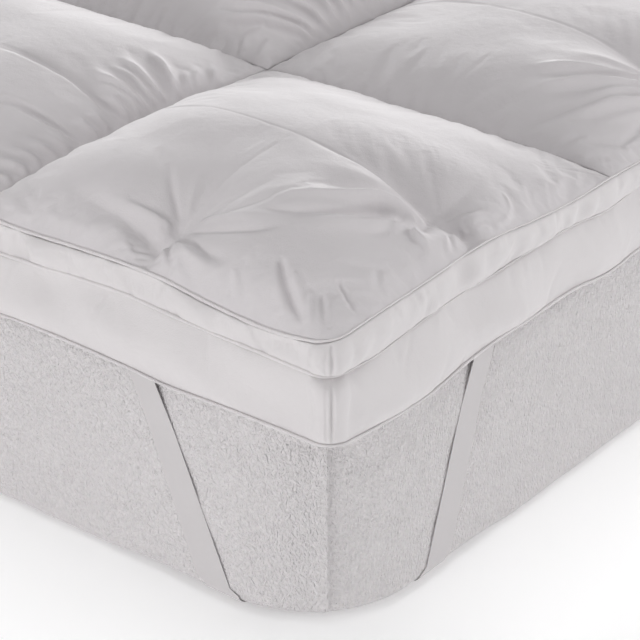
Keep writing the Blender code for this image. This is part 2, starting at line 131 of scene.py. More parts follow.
NEAR_FOLDS = (
    # from the tack of the +X side
    Fold(1.5, 12, 12, 0.1, ((112, 240), (130, 231), (150, 224), (170, 215), (192, 209), (215, 206))),
    Fold(-3.5, 12, 14, 0.1, ((88, 238), (108, 228), (125, 213), (140, 196), (152, 179), (163, 158))),
    Fold(-5.5, 4, 14, 0.4, ((74, 229), (93, 214), (112, 198), (128, 185), (144, 169), (158, 152))),
    Fold(9.0, 8, 12, 0.2, ((46, 234), (58, 226), (76, 215), (96, 201), (116, 185), (134, 171))),
    Fold(7.0, 9, 18, 0.2, (
        (58, 222), (74, 214), (94, 200), (114, 184), (136, 168), (156, 150), (178, 130), (196, 108),
    )),
    Fold(-7.5, 22, 6, 0.35, (
        (80, 216), (89, 193), (98, 173), (110, 155), (126, 138), (143, 123), (166, 110), (196, 99),
    )),
    Fold(-3.0, 6, 5, 0.3, ((70, 216), (69, 192), (66, 168), (70, 147), (80, 126))),
    Fold(7.0, 14, 14, 0.1, ((56, 204), (70, 181), (84, 159), (100, 138), (122, 118), (150, 100))),
    Fold(-7.5, 7, 8, 0.3, ((64, 247), (58, 233), (51, 220), (43, 211), (31, 205))),
    Fold(7.0, 10, 4, 0.3, ((54, 200), (44, 194), (34, 190), (22, 187), (8, 185))),
    Fold(-6.0, 5, 26, 0.2, (
        (62, 252), (84, 252), (110, 252), (140, 251), (175, 250), (215, 249), (260, 249),
    )),
    Fold(-3.5, 7, 7, 0.3, ((60, 260), (46, 274), (34, 290), (24, 306))),
    Fold(3.0, 3, 3, 0.3, ((28, 224), (16, 211), (3, 196))),
    Fold(-3.5, 3, 3, 0.3, ((32, 234), (18, 221), (4, 206))),
    Fold(3.0, 3, 3, 0.3, ((34, 245), (20, 232), (6, 218))),
    Fold(-3.0, 3, 3, 0.3, ((34, 256), (20, 246), (6, 232))),
    Fold(-2.5, 3, 3, 0.3, ((34, 266), (20, 258), (8, 264))),
    Fold(3.0, 3, 3, 0.3, ((40, 343), (21, 332), (10, 309), (7, 277))),
    Fold(3.0, 3, 3, 0.3, ((37, 259), (24, 256), (13, 271), (8, 284))),
    # from the tack of the foot end
    Fold(-9.0, 24, 10, 0.1, ((254, 36), (270, 36), (290, 38), (318, 40), (346, 42), (385, 46), (420, 50))),
    Fold(-8.0, 20, 13, 0.1, ((240, 30), (256, 31), (276, 34), (296, 36), (320, 39))),
    Fold(2.0, 5, 8, 0.2, ((252, 60), (266, 55), (284, 52), (302, 49), (324, 48), (342, 46))),
    Fold(2.0, 7, 4, 0.3, ((254, 60), (286, 55), (314, 52), (340, 53), (362, 51))),
    Fold(3.0, 9, 9, 0.1, ((410, 16), (380, 12), (345, 11), (300, 8))),
    Fold(-2.5, 6, 5, 0.3, ((255, 66), (270, 78), (289, 92), (305, 107), (322, 124))),
    Fold(2.0, 6, 6, 0.2, ((252, 74), (264, 94), (276, 116), (285, 138))),
    Fold(3.0, 9, 9, 0.1, ((240, 74), (210, 84), (180, 92), (158, 102), (142, 116))),
    Fold(-3.0, 5, 6, 0.4, ((240, 62), (212, 63), (184, 69), (160, 79), (142, 93), (128, 112))),
    Fold(-2.2, 6, 6, 0.2, ((238, 76), (227, 100), (216, 120), (205, 140), (196, 160))),
    Fold(-2.2, 6, 6, 0.2, ((222, 82), (204, 98), (190, 114), (178, 132), (166, 152))),
    Fold(-5.0, 7, 8, 0.3, ((246, 54), (228, 43), (206, 37), (184, 34), (160, 32), (138, 28))),
    Fold(4.0, 9, 8, 0.1, ((226, 28), (200, 22), (175, 18), (138, 14))),
    Fold(-4.0, 4, 4, 0.3, ((244, 40), (234, 24), (221, 12), (208, 4))),
    Fold(3.0, 5, 5, 0.1, ((250, 36), (241, 21), (229, 10), (218, 3))),
    Fold(-2.0, 3, 3, 0.3, ((256, 24), (268, 17), (284, 13))),
    Fold(-2.0, 3, 3, 0.3, ((252, 14), (266, 8), (280, 5))),
    # across the corner
    Fold(-6.5, 5, 7, 0.3, ((114, 60), (99, 47), (82, 34), (63, 22), (42, 10))),
    Fold(-3.5, 4, 5, 0.3, ((84, 37), (66, 25), (48, 13), (34, 5))),
    Fold(3.0, 6, 6, 0.1, ((92, 52), (76, 38), (60, 26), (42, 10))),
    Fold(2.5, 3, 4, 0.2, ((62, 44), (49, 27), (38, 14), (27, 2))),
    Fold(-3.5, 4, 4, 0.3, ((52, 48), (38, 34), (24, 20), (12, 10))),
    Fold(-3.5, 5, 4, 0.3, ((50, 70), (34, 62), (18, 54), (3, 47))),
    Fold(-2.0, 5, 5, 0.2, ((34, 118), (22, 100), (6, 88))),
    Fold(2.0, 6, 5, 0.2, ((150, 26), (134, 14), (120, 4))),
)

# of the pocket on the left of the corner's, along the channel between them
LEFT_FOLDS = (
    Fold(-6.3, 3, 14, 0.4, (
        (503, 244), (530, 243), (564, 246), (590, 248), (620, 246), (664, 243), (700, 242), (760, 246),
    )),
    Fold(10.9, 6, 9, 0.3, ((502, 341), (514, 347), (532, 357), (560, 370), (590, 380))),
    Fold(9.1, 6, 9, 0.3, ((502, 323), (520, 323), (540, 326), (570, 330), (600, 328))),
    Fold(8.2, 6, 9, 0.3, ((502, 307), (525, 307), (555, 310), (590, 306))),
    Fold(9.1, 6, 9, 0.3, ((502, 293), (524, 289), (546, 286), (575, 282), (600, 280))),
    Fold(8.2, 6, 9, 0.3, ((502, 277), (526, 276), (550, 272), (580, 264))),
    Fold(7.3, 6, 8, 0.3, ((502, 262), (524, 260), (545, 260), (565, 256))),
    Fold(7.3, 6, 8, 0.3, ((502, 362), (518, 374), (540, 390))),
    Fold(7.3, 6, 8, 0.3, ((502, 380), (514, 386), (528, 400), (540, 416))),
    Fold(6.4, 6, 8, 0.3, ((502, 408), (520, 424), (535, 440))),
    Fold(-5.6, 7, 4, 0.5, ((503, 181), (528, 173), (552, 169), (586, 162), (615, 156))),
    Fold(6.4, 6, 8, 0.3, ((502, 226), (522, 222), (545, 216))),
    Fold(5.5, 6, 8, 0.2, ((502, 206), (520, 200), (540, 196))),
    Fold(3.5, 6, 6, 0.3, ((502, 160), (518, 154), (535, 146))),
    Fold(3.5, 6, 6, 0.3, ((502, 138), (518, 131), (538, 123))),
    Fold(3.5, 6, 6, 0.3, ((502, 112), (520, 108), (536, 100))),
    Fold(3.5, 6, 6, 0.3, ((502, 88), (518, 84), (536, 76))),
    Fold(3.5, 6, 6, 0.3, ((502, 64), (518, 58), (530, 48))),
)

# of the pocket on the right, from the tack of the +X side
BACK_FOLDS = (
    Fold(12.9, 9, 13, 0.2, ((63, 728), (66, 700), (74, 672), (94, 646), (128, 618), (156, 590), (190, 550))),
    Fold(12.9, 9, 13, 0.2, ((66, 736), (80, 700), (100, 672), (134, 650), (174, 630), (220, 600))),
    Fold(11.2, 8, 13, 0.2, ((58, 716), (58, 685), (64, 656), (82, 632), (98, 602), (112, 566))),
    Fold(11.2, 8, 13, 0.2, ((54, 706), (48, 670), (54, 640), (70, 612), (86, 578), (106, 542))),
    Fold(5.8, 7, 16, 0.2, ((50, 700), (42, 658), (43, 624), (57, 594), (66, 564))),
    Fold(-3.4, 12, 12, 0.1, ((80, 620), (92, 600), (110, 566), (134, 526), (150, 506))),
    Fold(3.4, 8, 12, 0.2, ((70, 744), (110, 722), (150, 700), (190, 676))),
    Fold(-2.9, 5, 5, 0.2, ((34, 640), (28, 590), (22, 545))),
)

# the gathers of the pocket behind, along its channel
FAR_FOLDS = (
    Fold(10.9, 6, 8, 0.2, ((506, 598), (526, 580), (560, 560), (600, 545), (640, 536))),
    Fold(11.8, 6, 8, 0.2, ((506, 612), (526, 598), (560, 582), (600, 568), (650, 560))),
    Fold(11.8, 6, 8, 0.2, ((506, 634), (526, 628), (560, 618), (600, 606), (650, 598))),
    Fold(11.8, 6, 8, 0.2, ((506, 652), (530, 655), (562, 656), (600, 648), (650, 636))),
    Fold(11.8, 6, 8, 0.2, ((506, 671), (530, 679), (560, 684), (600, 684), (650, 678))),
    Fold(10.9, 6, 8, 0.2, ((506, 692), (528, 704), (560, 712), (600, 716), (650, 714))),
    Fold(11.8, 6, 8, 0.2, ((506, 714), (528, 729), (560, 740), (600, 746), (640, 748))),
    Fold(10.9, 6, 8, 0.2, ((506, 738), (528, 756), (560, 770), (600, 778), (640, 780))),
    Fold(10.9, 6, 8, 0.2, ((506, 764), (528, 784), (560, 798), (600, 806), (640, 810))),
    Fold(9.1, 6, 8, 0.2, ((506, 792), (530, 812), (560, 828), (600, 838))),
    Fold(4.2, 4, 9, 0.2, ((520, 508), (528, 526), (534, 548))),
    Fold(4.2, 4, 9, 0.2, ((548, 508), (556, 522), (560, 538))),
)


# ------------------------ small tools


def mixed(pair, share):
    """From the first of a pair at 0 to the second at 1."""
    return pair[0] + (pair[1] - pair[0]) * share


def smooth_step(value):
    """From 0 to 1 without corners."""
    value = np.clip(value, 0.0, 1.0)
    return value * value * (3 - 2 * value)


def smooth_curve(places, values, at):
    """A smooth curve through the values at their places."""
    slopes = np.gradient(values, places, axis=0)
    at = np.clip(at, places[0], places[-1])
    k = np.clip(np.searchsorted(places, at) - 1, 0, len(places) - 2)
    step = places[k + 1] - places[k]
    t = (at - places[k]) / step
    if values.ndim > 1:
        step, t = step[:, None], t[:, None]
    rising = t * t * (3 - 2 * t)
    bend = step * (t * (1 - t) ** 2 * slopes[k] - t * t * (1 - t) * slopes[k + 1])
    return values[k] * (1 - rising) + values[k + 1] * rising + bend


def soft_noise(x, y, size, seed):
    """A smooth random surface with hills about one size across and a typical height of 1."""
    rng = np.random.default_rng(seed)
    total = np.zeros(np.broadcast(x, y).shape)
    for _ in range(NOISE_WAVES):
        turn, phase = rng.uniform(0, 2 * math.pi, 2)
        rate = 2 * math.pi / (size * rng.uniform(*NOISE_STRETCH))
        total += np.sin(rate * (x * math.cos(turn) + y * math.sin(turn)) + phase)
    return total / math.sqrt(NOISE_WAVES / 2)


def spline_points(route, spacing):
    """Points of a smooth curve through a route."""
    route = np.array(route, float)
    steps = np.hypot(*np.diff(route, axis=0).T)
    places = np.concatenate(([0.0], np.cumsum(steps)))
    at = np.linspace(0, places[-1], max(3, int(places[-1] / spacing)))
    return np.stack([smooth_curve(places, route[:, k], at) for k in (0, 1)], 1)


def new_piece(name, points, faces, look):
    """One object that rides on the body, with the look in its material slot."""
    mesh = bpy.data.meshes.new(name)
    mesh.from_pydata(points.tolist(), [], faces)
    mesh.shade_smooth()
    mesh.materials.append(look)
    made = bpy.data.objects.new(name, mesh)
    bpy.context.scene.collection.objects.link(made)
    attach(made, BODY)
    return made


def ring_faces(first, second):
    """Quads between two rings of vertex numbers that run counterclockwise, the second one below."""
    after_first, after_second = np.roll(first, -1), np.roll(second, -1)
    return np.stack([after_first, first, second, after_second], 1).tolist()


# ------------------------ seams


def wave_table(rows, pockets):
    """Places along a side and the three seams' lifts there."""
    places, lifts = [], []
    for pocket in range(pockets + 1):
        for k, (place, row) in enumerate(zip(WAVE_PLACES, rows)):
            if pocket == pockets and k:
                break
            places.append(pocket * PITCH + place)
            lifts.append([MM * lift * (WAVE_SHARES[pocket] if k else 1.0) for lift in row])
    return np.array(places), np.array(lifts)


WAVES = {"end": wave_table(END_WAVES, POCKETS_ACROSS), "side": wave_table(SIDE_WAVES, POCKETS_ALONG)}


def seam_wave(kind, distance, seam):
    """How far the top, middle or bottom seam (0, 1, 2) is lifted at a distance along one side."""
    places, lifts = WAVES[kind]
    return smooth_curve(places, lifts[:, seam], distance)


def wave_inside(a, b):
    """The top seam's wave carried into the panel."""
    lift = np.zeros(a.shape)
    for inward, kind, distance in (
        (b, "end", a),
        (LENGTH - b, "end", WIDTH - a),
        (a, "side", b),
        (WIDTH - a, "side", LENGTH - b),
    ):
        lift += seam_wave(kind, distance, TOP) * np.exp(-inward / PANEL_EDGE)
    return lift


def outline(half_x, half_y, radius, fine, coarse, fine_reach, arc_steps):
    """A rounded rectangle, counterclockwise from the photo's corner, finer close to that corner.

    Each row is x, y, the way out in x and y, and the distance run so far.
    """
    rows = []
    corners = ((1, -1, "y"), (1, 1, "x"), (-1, 1, "y"), (-1, -1, "x"))
    for k, (side_x, side_y, axis) in enumerate(corners):
        start_turn = math.radians(-90 + 90 * k)
        centre = (side_x * (half_x - radius), side_y * (half_y - radius))
        for step in range(arc_steps):
            turn = start_turn + math.pi / 2 * step / arc_steps
            out = (math.cos(turn), math.sin(turn))
            rows.append((centre[0] + radius * out[0], centre[1] + radius * out[1], *out))
        run = 2 * ((half_y if axis == "y" else half_x) - radius)
        turn = start_turn + math.pi / 2
        out = (math.cos(turn), math.sin(turn))
        ahead = (-out[1], out[0])
        near_start, near_end = k == 0, k == 3
        for place in run_places(run, fine, coarse, fine_reach, near_start, near_end):
            x = centre[0] + radius * out[0] + ahead[0] * place
            y = centre[1] + radius * out[1] + ahead[1] * place
            rows.append((x, y, *out))
    rows = np.array(rows)
    steps = np.hypot(*(np.roll(rows[:, :2], -1, 0) - rows[:, :2]).T)
    run_so_far = np.concatenate(([0.0], np.cumsum(steps)[:-1]))
    return np.column_stack((rows, run_so_far))


def run_places(run, fine, coarse, reach, near_start, near_end):
    """Places along a straight side, close together near its start or its end."""
    places, at = [], 0.0
    while at < run - coarse / 2:
        places.append(at)
        close = (near_start and at < reach) or (near_end and run - at < reach + coarse)
        at += fine if close else coarse
    return places


def side_share(rows):
    """1 on the long sides, 0 on the ends, for each row of an outline."""
    return 1 - rows[:, 3] ** 2


def seam_levels(rows, seam):
    """A seam's height at each row of an outline."""
    level = (TOP_SEAM, MIDDLE_SEAM, BOTTOM_SEAM)[seam]
    x, y = rows[:, 0], rows[:, 1]
    a, b = WIDTH / 2 - x, y + LENGTH / 2
    end_distance = np.where(b < LENGTH / 2, a, WIDTH - a)
    side_distance = np.where(a < WIDTH / 2, b, LENGTH - b)
    on_end = seam_wave("end", np.clip(end_distance, 0, WIDTH), seam)
    on_side = seam_wave("side", np.clip(side_distance, 0, LENGTH), seam)
    return level + mixed((on_end, on_side), side_share(rows))


# ------------------------ pockets


def tack_pull(inward, beside, depth, blunting, slopes):
    """How far the tack in the middle of an outer side pulls the panel down.

    Close beside the tack the panel falls straight from it to the seam.
    """
    before = smooth_step((inward - TACK_START) / (TACK_END - TACK_START))
    straight = np.clip(inward / TACK_END, 0, 1) ** TACK_RISE
    close = np.exp(-((beside / np.where(beside > 0, slopes[1], slopes[0])) ** 2))
    past = np.clip(1 - (inward - TACK_END) / (PITCH / 2 - TACK_END), 0, 1) ** TACK_FADE
    strength = np.where(inward < TACK_END, before + (straight - before) * close, past)
    blunt = TACK_TIP + blunting * np.clip((inward - TACK_END) / PITCH, 0, 1)
    return depth * strength * np.exp(-(np.hypot(beside, blunt) - blunt) / TACK_REACH)


def fold_heights(a, b, folds):
    """The folds' heights in metres at places given in metres."""
    a, b = a / MM, b / MM
    total = np.zeros(a.shape)
    for fold in folds:
        route = spline_points(fold.route, ROUTE_STEP)
        reach = FOLD_REACH * max(fold.left, fold.right)
        low, high = route.min(0) - reach, route.max(0) + reach
        near = (a > low[0]) & (a < high[0]) & (b > low[1]) & (b < high[1])
        if not near.any():
            continue
        at = np.stack((a[near], b[near]), 1)
        away = ((at[:, None, :] - route[None, :, :]) ** 2).sum(2)
        k = away.argmin(1)
        ahead = np.gradient(route, axis=0)[k]
        off = at - route[k]
        on_left = off[:, 0] * ahead[:, 1] - off[:, 1] * ahead[:, 0] > 0
        share = k / (len(route) - 1)
        spread = np.where(on_left, fold.left, fold.right) * mixed(FOLD_WIDENING, share)
        q = np.sqrt(away[np.arange(len(k)), k]) / spread
        profile = (1 - fold.sharp) * np.exp(-q * q) + fold.sharp * np.exp(-SHARP_FALL * q)
        taper = smooth_step(share / FOLD_START) * smooth_step((1 - share) / FOLD_END)
        total[near] += fold.height * profile * taper
    return total * MM


def gathers(along, inward, seed, spacing, height, length):
    """Short soft folds that start at a seam and run straight in from it."""
    rng = np.random.default_rng(seed)
    total = np.zeros(along.shape)
    at = spacing * rng.uniform(*GATHER_STARTS)
    while at < PITCH - spacing * GATHER_STARTS[0]:
        width = spacing * rng.uniform(*GATHER_WIDTHS)
        reach = length * rng.uniform(*GATHER_LENGTHS)
        rise = height * rng.uniform(*GATHER_RISES)
        slant = rng.uniform(*GATHER_SLANTS)
        q = (along - at - slant * inward) / (width * (1 + GATHER_WIDENING * inward / reach))
        total += rise * np.exp(-q * q - (inward / reach) ** 2) * (1 - np.exp(-inward / GATHER_FOOT))
        at += spacing * rng.uniform(*GATHER_STEPS)
    return total


def pocket_heights(a, b, column, row, folds):
    """Heights over the floor of one pocket's top, column 0 and row 0 at the photo's corner."""
    shape = SHAPES[row][column]
    in_a, in_b = a - column * PITCH, b - row * PITCH
    u, v = 2 * in_a / PITCH - 1, 2 * in_b / PITCH - 1
    across = 1 - np.abs(u) ** np.where(u < 0, *shape.across)
    along = 1 - np.abs(v) ** np.where(v < 0, *shape.along)
    from_middle = np.maximum(np.abs(2 * a / WIDTH - 1), np.abs(2 * b / LENGTH - 1))
    channel = CHANNEL * (1 - from_middle**CHANNEL_POWER)
    height = channel + (shape.crown - channel - PUFF / 2) * across * along
    from_end, from_side = np.minimum(b, LENGTH - b), np.minimum(a, WIDTH - a)
    if row in (0, POCKETS_ALONG - 1):
        height -= tack_pull(from_end, u * PITCH / 2, shape.end_tack, END_BLUNTING, END_SLOPES) * across
    if column in (0, POCKETS_ACROSS - 1):
        height -= tack_pull(from_side, v * PITCH / 2, shape.side_tack, SIDE_BLUNTING, SIDE_SLOPES) * along
    edges = (in_a, PITCH - in_a, in_b, PITCH - in_b)
    puff = np.ones(a.shape)
    for edge in edges:
        puff *= 1 - np.exp(-edge / np.where(edge == from_side, SIDE_PUFF_REACH, PUFF_REACH))
    height += PUFF * puff + RIM * np.exp(-from_end / RIM_REACH)
    fade = smooth_step(np.minimum.reduce(edges) / UNEVEN_EDGE)
    seed = 10 * row + column
    for rise, size, added in UNEVEN:
        height += fade * rise * soft_noise(a, b, size, seed + added)
    for beside, depth in zip((in_a - PITCH / 2, in_b - PITCH / 2), GROOVES):
        height -= depth * puff * np.exp(-np.abs(beside) / GROOVE_REACH)
    for k, (place, edge) in enumerate(zip((in_b, in_b, in_a, in_a), edges)):
        gather_seed = GATHER_SEED + 4 * seed + k
        height += gathers(place, edge, gather_seed, *GATHERS.get((column, row), OTHER_GATHERS))
    height += fold_heights(a, b, folds) * puff
    return TOP_SEAM + wave_inside(a, b) + height


def rounded(x, y, half_x, half_y, radius):
    """Places of a rectangle moved so that its corners become quarter circles."""
    from_x, from_y = np.abs(x) - (half_x - radius), np.abs(y) - (half_y - radius)
    inside = (from_x > 0) & (from_y > 0)
    p, q = from_x / radius, from_y / radius
    new_x = (half_x - radius + radius * p * np.sqrt(np.clip(1 - q * q / 2, 0, 1))) * np.sign(x)
    new_y = (half_y - radius + radius * q * np.sqrt(np.clip(1 - p * p / 2, 0, 1))) * np.sign(y)
    return np.where(inside, new_x, x), np.where(inside, new_y, y)


def pocket_mesh(column, row, cells, folds, settled=None):
    """Points and faces of one closed pocket: its swelling top and a plain underside."""
    steps = np.linspace(0, PITCH, cells + 1)
    b, a = np.meshgrid(row * PITCH + steps, column * PITCH + PITCH - steps, indexing="ij")
    z = pocket_heights(a, b, column, row, folds)
    x, y = rounded(WIDTH / 2 - a, b - LENGTH / 2, WIDTH / 2, LENGTH / 2, CORNER_ROUND)
    top = np.stack((x, y, z), -1)
    if settled is not None:
        top += finer_grid(settled, cells)
    side = cells + 1
    number = np.arange(side * side).reshape(side, side)
    quads = np.stack([number[:-1, :-1], number[:-1, 1:], number[1:, 1:], number[1:, :-1]], -1)
    faces = quads.reshape(-1, 4).tolist()
    points = [top.reshape(-1, 3)]
    ring = np.concatenate((number[0, :-1], number[:-1, -1], number[-1, :0:-1], number[:0:-1, 0]))
    start, middle, edge = side * side, points[0].mean(0), points[0][ring]
    for inward, down, level in zip(SKIRT_IN, SKIRT_DOWN, (edge[:, 2], TOP_SEAM)):
        low = middle + (edge - middle) * (1 - 2 * inward / PITCH)
        low[:, 2] = level - down
        points.append(low)
        below = np.arange(start, start + len(edge))
        faces += ring_faces(ring, below)
        ring, start = below, start + len(edge)
    faces.append(ring[::-1].tolist())
    return np.concatenate(points), faces


# ------------------------ the cloth's own settling

# Cells along a pocket's side in its mesh and in its cloth, the share of the settling kept, and its folds
Plan = namedtuple("Plan", "cells cloth_cells settle folds")
PHOTO_PLANS = {
    (0, 0): Plan(288, 104, 0.45, NEAR_FOLDS),
    (1, 0): Plan(176, 96, 0.8, LEFT_FOLDS),
    (0, 1): Plan(176, 96, 0.6, BACK_FOLDS),
    (1, 1): Plan(176, 96, 0.9, FAR_FOLDS),
}
OTHER_PLAN = Plan(112, 60, 0.9, ())

CLOTH_FRAMES, CLOTH_QUALITY = 14, 4
CLOTH_MASS, CLOTH_PRESSURE = 0.05, 4.0
CLOTH_STIFFNESS, CLOTH_BENDING = 15.0, 1.0
SPARE_CLOTH = -0.04  # the share by which the cloth is larger than its shape
TACKED = 0.006  # cloth closer than this to a tack or its short seam stays
KEEP_BELOW = 0.024  # the settling keeps folds narrower than this, not the swelling of the whole
MOST_MOVE = 0.007
EDGE_HOLD = 0.006  # the settling fades in over this distance from the seams


def finer_grid(grid, cells):
    """A grid of moves read at more places."""
    places = np.linspace(0, 1, len(grid))
    at = np.linspace(0, 1, cells + 1)
    wide = smooth_curve(places, grid.reshape(len(grid), -1), at).reshape(len(at), len(grid), -1)
    wide = wide.transpose(1, 0, 2).reshape(len(grid), -1)
    return smooth_curve(places, wide, at).reshape(len(at), len(at), -1).transpose(1, 0, 2)


def blurred(grid, reach):
    """The grid smoothed over a reach in cells, its edges carried on."""
    far = int(3 * reach) + 1
    weights = np.exp(-0.5 * (np.arange(-far, far + 1) / reach) ** 2)
    weights /= weights.sum()
    for axis in (0, 1):
        pad = [(far, far) if k == axis else (0, 0) for k in range(grid.ndim)]
        wide = np.pad(grid, pad, mode="edge")
        count = grid.shape[axis]
        grid = sum(w * np.take(wide, np.arange(k, k + count), axis) for k, w in enumerate(weights))
    return grid


def held_points(column, row, a, b):
    """Which points of a pocket's top the tacks and their short seams hold."""
    held = np.zeros(a.shape, bool)
    for place, count, inward, beside, middle in (
        (column, POCKETS_ACROSS, np.minimum(a, WIDTH - a), b, (row + 0.5) * PITCH),
        (row, POCKETS_ALONG, np.minimum(b, LENGTH - b), a, (column + 0.5) * PITCH),
    ):
        if place in (0, count - 1):
            off = np.abs(beside - middle)
            held |= np.hypot(inward - TACK_END, off) < TACKED
            held |= (off < TACKED / 2) & (inward < TACK_END)
    return held


def hang_cloth(points, faces, held):
    """A copy of a pocket with Blender's Cloth on it, held at the given points."""
    mesh = bpy.data.meshes.new("settling")
    mesh.from_pydata(points.tolist(), [], faces)
    made = bpy.data.objects.new("settling", mesh)
    bpy.context.scene.collection.objects.link(made)
    made.vertex_groups.new(name="held").add(np.nonzero(held)[0].tolist(), 1.0, "REPLACE")
    cloth = made.modifiers.new("Cloth", "CLOTH")
    cloth.point_cache.frame_start, cloth.point_cache.frame_end = 1, CLOTH_FRAMES + 1
    cloth.collision_settings.use_collision = False
    cloth.collision_settings.use_self_collision = False
    settings = cloth.settings
    settings.quality = CLOTH_QUALITY
    settings.mass = CLOTH_MASS
    settings.tension_stiffness = settings.compression_stiffness = CLOTH_STIFFNESS
    settings.shear_stiffness = CLOTH_STIFFNESS / 3
    settings.bending_stiffness = CLOTH_BENDING
    settings.shrink_min = SPARE_CLOTH
    settings.use_pressure = True
    settings.uniform_pressure_force = CLOTH_PRESSURE
    settings.vertex_group_mass = "held"
    settings.effector_weights.gravity = 0
    return made


def settle_pockets(plans):
    """How the cloth of each pocket moves under its filling's pressure, as grids of moves."""
    hung = {}
    for place, plan in plans.items():
        points, faces = pocket_mesh(*place, plan.cloth_cells, plan.folds)
        side = plan.cloth_cells + 1
        top = points[: side * side].reshape(side, side, 3)
        tacked = held_points(*place, WIDTH / 2 - top[..., 0], top[..., 1] + LENGTH / 2)
        free = np.zeros((side, side), bool)
        free[1:-1, 1:-1] = ~tacked[1:-1, 1:-1]
        held = np.ones(len(points), bool)
        held[: side * side] = ~free.ravel()
        hung[place] = (hang_cloth(points, faces, held), top)
    for step in range(1, CLOTH_FRAMES + 1):
        bpy.context.scene.frame_set(step)
    ready = bpy.context.evaluated_depsgraph_get()
    moves = {}
    for place, (made, top) in hung.items():
        settled = made.evaluated_get(ready).to_mesh()
        points = np.empty(len(settled.vertices) * 3)
        settled.vertices.foreach_get("co", points)
        move = points.reshape(-1, 3)[: top.shape[0] ** 2].reshape(top.shape) - top
        move -= blurred(move, KEEP_BELOW / PITCH * plans[place].cloth_cells)
        run = np.linspace(0, PITCH, top.shape[0])
        window = np.clip(np.minimum(run, PITCH - run) / EDGE_HOLD, 0, 1)
        move *= plans[place].settle * window[:, None, None] * window[None, :, None]
        size = np.linalg.norm(move, axis=2, keepdims=True)
        moves[place] = move / (1 + size / MOST_MOVE)
    for made, _ in hung.values():
        bpy.data.objects.remove(made)
    bpy.context.scene.frame_set(1)
    return moves


def build_pockets(look):
    """Every pocket, its cloth settled under the filling's pressure."""
    plans = {}
    for row in range(POCKETS_ALONG):
        for column in range(POCKETS_ACROSS):
            plans[column, row] = PHOTO_PLANS.get((column, row), OTHER_PLAN)
    moves = settle_pockets(plans)
    for place, plan in plans.items():
        points, faces = pocket_mesh(*place, plan.cells, plan.folds, moves.get(place))
        made = new_piece(f"pocket_{place[0] + 1}_{place[1] + 1}", points, faces, look)
        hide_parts("top_chamber")


# ------------------------ walls and cords

INNER, INNER_DROP = 0.020, 0.018  # the walls close this far in from the seams, and under the top one
TIER_GAP = 0.0002  # from the middle seam to either chamber's flat part
REST_INSET = 0.012  # the underside lies flat on the mattress from this far in
RING_CROWDING = 0.08  # how much closer together a wall's rings are near its seams
SEAM_FADE = 0.6  # how suddenly a wall's folds end at its seams
WALL_CORNER = 0.004  # radius of the walls' corners
CORNER_SEAMS = ((0.0016, 0.0040, 0.0), (0.0009, 0.0012, 0.0045))  # width, depth and how far to one side
TINY = 1e-6

# Soft waves in a wall, and how their noise reads the run along the wall and the height
Ripples = namedtuple("Ripples", "seed height size run_share slant height_share")
# Short folds that leave a seam
Puckers = namedtuple("Puckers", "seed spacing height length")
PUCKER_WIDTHS, PUCKER_LENGTHS, PUCKER_SLANTS = (0.12, 0.3), (0.4, 1.4), (-0.6, 0.6)
PUCKER_RISES, PUCKER_STEPS = (-1.0, 0.7), (0.5, 1.6)
PUCKER_REACH = (5, 0.04)  # each is worked out to this many widths and this much more from its line

# A wall's section, with pairs for the ends and the long sides. It starts under one seam and stops over the
# next, and swells between them. A lean under 1 makes it fullest above its middle, and the powers say how
# round it is above and below that place.
Wall = namedtuple(
    "Wall",
    "steps under over start_out end_out swell lean power_above power_below ripples top_puckers low_puckers",
)
UPPER_WALL = Wall(
    steps=26,
    under=(0.0021, 0.0010),
    over=0.0010,
    start_out=(0.0005, -0.0028),
    end_out=(0.0, -0.0048),
    swell=(0.0052, 0.0090),
    lean=0.7,
    power_above=(0.5, 0.9),
    power_below=0.55,
    ripples=(Ripples(71, 0.0016, 0.020, 1.0, 0.0, 0.6), Ripples(74, 0.0026, 0.055, 1.0, 0.0, 0.5)),
    top_puckers=Puckers(72, 0.017, 0.0046, 0.016),
    low_puckers=Puckers(73, 0.020, 0.0046, 0.015),
)
LOWER_WALL = Wall(
    steps=28,
    under=(0.0010, 0.0010),
    over=0.0014,
    start_out=(0.0, -0.0048),
    end_out=(0.0012, 0.0012),
    swell=(0.0058, 0.0084),
    lean=1.0,
    power_above=(0.6, 0.7),
    power_below=0.8,
    ripples=(Ripples(81, 0.0036, 0.050, 0.7, 0.6, 1.0),),
    top_puckers=Puckers(82, 0.026, 0.0040, 0.024),
    low_puckers=Puckers(83, 0.030, 0.0040, 0.026),
)

# Pairs are again for the ends and the long sides
Cord = namedtuple("Cord", "name seam radius out")
CORDS = (
    Cord("top_cord", TOP, (0.0020, 0.0012), (0.0008, -0.0006)),
    Cord("middle_cord", MIDDLE, (0.0024, 0.0012), (0.0002, -0.0040)),
    Cord("bottom_cord", BOTTOM, (0.0019, 0.0019), (0.0020, 0.0020)),
)
CORD_SIDES = 8
CORD_LUMPS, CORD_LUMP_SIZE, CORD_SEED = 0.06, 0.012, 90


def slab(name, rings, look):
    """A closed body from rings of points, from the inner ring of its top to that of its underside."""
    count = len(rings[0])
    faces = [list(range(count))]
    for k in range(len(rings) - 1):
        first = np.arange(k * count, (k + 1) * count)
        faces += ring_faces(first, first + count)
    last = (len(rings) - 1) * count
    faces.append(list(range(last + count - 1, last - 1, -1)))
    return new_piece(name, np.concatenate(rings), faces, look)


def offset_ring(rows, out, height):
    """A ring of points at a height, this far out from an outline."""
    x = rows[:, 0] + rows[:, 2] * out
    y = rows[:, 1] + rows[:, 3] * out
    return np.stack((x, y, np.broadcast_to(height, x.shape)), 1)


